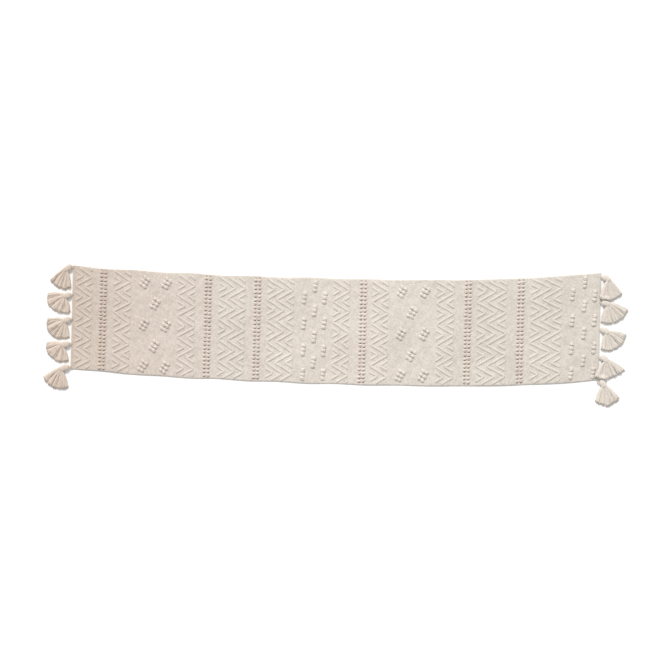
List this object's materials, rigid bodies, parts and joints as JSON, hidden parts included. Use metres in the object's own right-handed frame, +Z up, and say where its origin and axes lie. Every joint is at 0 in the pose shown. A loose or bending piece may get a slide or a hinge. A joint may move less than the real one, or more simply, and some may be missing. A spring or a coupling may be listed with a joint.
{
  "type": "table runner",
  "caption": "Long textured cotton table runner with raised zigzag bands, loop rows, knots and dashes, and a row of tassels at each end.",
  "frame": {"origin": "middle of the whole outline, on the surface the runner lies on", "axes": "+X along the runner, +Y across it, +Z up out of its face"},
  "size_m": [2.0239, 0.4948, 0.0176],
  "materials": {
    "ground_cloth": "matt slub cotton, fine ribs across the width",
    "raised_yarn": "matt soft cotton floats",
    "loop_yarn": "matt looped cotton with warm brown shade between the loops",
    "tuft_yarn": "matt brushed cotton tufts",
    "hem_cloth": "matt folded cotton",
    "stitch_thread": "matt cotton thread",
    "tassel_yarn": "matt soft twisted cotton",
    "tassel_binding": "matt tightly wound cotton"
  },
  "bodies": {
    "left_half": {"ground_left_half": "ground_cloth", "chevron_band_03": "raised_yarn", "chevron_band_04": "raised_yarn", "chevron_band_05": "raised_yarn", "loop_row_2": "loop_yarn", "loop_row_3": "loop_yarn", "diamond_knots_left": "tuft_yarn", "dash_tufts_left": "tuft_yarn"},
    "right_half": {"ground_right_half": "ground_cloth", "chevron_band_06": "raised_yarn", "chevron_band_07": "raised_yarn", "chevron_band_08": "raised_yarn", "chevron_band_09": "raised_yarn", "loop_row_4": "loop_yarn", "loop_row_5": "loop_yarn", "loop_row_6": "loop_yarn", "diamond_knots_right": "tuft_yarn"},
    "left_end": {"ground_left_end": "ground_cloth", "hem_left": "hem_cloth", "hem_stitches_left": "stitch_thread", "chevron_band_01": "raised_yarn", "chevron_band_02": "raised_yarn", "loop_row_1": "loop_yarn"},
    "right_end": {"ground_right_end": "ground_cloth", "hem_right": "hem_cloth", "hem_stitches_right": "stitch_thread", "chevron_band_10": "raised_yarn", "dash_tufts_right": "tuft_yarn"},
    "left_tassel_1": {"left_tassel_1_head": "tassel_yarn", "left_tassel_1_wrap": "tassel_binding", "left_tassel_1_skirt": "tassel_yarn"},
    "left_tassel_2": {"left_tassel_2_head": "tassel_yarn", "left_tassel_2_wrap": "tassel_binding", "left_tassel_2_skirt": "tassel_yarn"},
    "left_tassel_3": {"left_tassel_3_head": "tassel_yarn", "left_tassel_3_wrap": "tassel_binding", "left_tassel_3_skirt": "tassel_yarn"},
    "left_tassel_4": {"left_tassel_4_head": "tassel_yarn", "left_tassel_4_wrap": "tassel_binding", "left_tassel_4_skirt": "tassel_yarn"},
    "left_tassel_5": {"left_tassel_5_head": "tassel_yarn", "left_tassel_5_wrap": "tassel_binding", "left_tassel_5_skirt": "tassel_yarn"},
    "right_tassel_1": {"right_tassel_1_head": "tassel_yarn", "right_tassel_1_wrap": "tassel_binding", "right_tassel_1_skirt": "tassel_yarn"},
    "right_tassel_2": {"right_tassel_2_head": "tassel_yarn", "right_tassel_2_wrap": "tassel_binding", "right_tassel_2_skirt": "tassel_yarn"},
    "right_tassel_3": {"right_tassel_3_head": "tassel_yarn", "right_tassel_3_wrap": "tassel_binding", "right_tassel_3_skirt": "tassel_yarn"},
    "right_tassel_4": {"right_tassel_4_head": "tassel_yarn", "right_tassel_4_wrap": "tassel_binding", "right_tassel_4_skirt": "tassel_yarn"},
    "right_tassel_5": {"right_tassel_5_head": "tassel_yarn", "right_tassel_5_wrap": "tassel_binding", "right_tassel_5_skirt": "tassel_yarn"}
  },
  "joints": [
    {"name": "half_fold", "type": "hinge", "parent": "left_half", "child": "right_half", "pos_m": [-0.0266, 0.01502, 0.0052], "axis": [-0.0262, -0.9997, 0], "range_deg": [0, 166]},
    {"name": "left_end_fold", "type": "hinge", "parent": "left_half", "child": "left_end", "pos_m": [-0.7016, 0.04534, 0.0012], "axis": [-0.0262, -0.9997, 0], "range_deg": [-90, 90]},
    {"name": "right_end_fold", "type": "hinge", "parent": "right_half", "child": "right_end", "pos_m": [0.6564, 0.01374, 0.0012], "axis": [0.0262, 0.9997, 0], "range_deg": [-90, 90]},
    {"name": "left_tassel_1_swing", "type": "hinge", "parent": "left_end", "child": "left_tassel_1", "pos_m": [-0.91604, 0.23734, 0.002], "axis": [-0.9336, 0.3584, 0], "range_deg": [-75, 25]},
    {"name": "left_tassel_2_swing", "type": "hinge", "parent": "left_end", "child": "left_tassel_2", "pos_m": [-0.91958, 0.14037, 0.002], "axis": [-0.7547, 0.6561, 0], "range_deg": [-75, 25]},
    {"name": "left_tassel_3_swing", "type": "hinge", "parent": "left_end", "child": "left_tassel_3", "pos_m": [-0.92181, 0.0554, 0.002], "axis": [-0.766, 0.6428, 0], "range_deg": [-75, 25]},
    {"name": "left_tassel_4_swing", "type": "hinge", "parent": "left_end", "child": "left_tassel_4", "pos_m": [-0.92803, -0.02957, 0.002], "axis": [-0.766, 0.6428, 0], "range_deg": [-75, 25]},
    {"name": "left_tassel_5_swing", "type": "hinge", "parent": "left_end", "child": "left_tassel_5", "pos_m": [-0.93313, -0.10954, 0.002], "axis": [-0.9272, 0.3746, 0], "range_deg": [-75, 25]},
    {"name": "right_tassel_1_swing", "type": "hinge", "parent": "right_end", "child": "right_tassel_1", "pos_m": [0.91785, 0.20134, 0.002], "axis": [-0.9848, -0.1736, 0], "range_deg": [0, 45]},
    {"name": "right_tassel_2_swing", "type": "hinge", "parent": "right_end", "child": "right_tassel_2", "pos_m": [0.91405, 0.11337, 0.002], "axis": [-0.891, -0.454, 0], "range_deg": [-75, 25]},
    {"name": "right_tassel_3_swing", "type": "hinge", "parent": "right_end", "child": "right_tassel_3", "pos_m": [0.91409, 0.0194, 0.002], "axis": [-0.848, -0.5299, 0], "range_deg": [-75, 25]},
    {"name": "right_tassel_4_swing", "type": "hinge", "parent": "right_end", "child": "right_tassel_4", "pos_m": [0.91357, -0.07656, 0.002], "axis": [-0.9703, -0.2419, 0], "range_deg": [0, 45]},
    {"name": "right_tassel_5_swing", "type": "hinge", "parent": "right_end", "child": "right_tassel_5", "pos_m": [0.90827, -0.16453, 0.002], "axis": [-0.9816, -0.1908, 0], "range_deg": [-75, 25]}
  ]
}
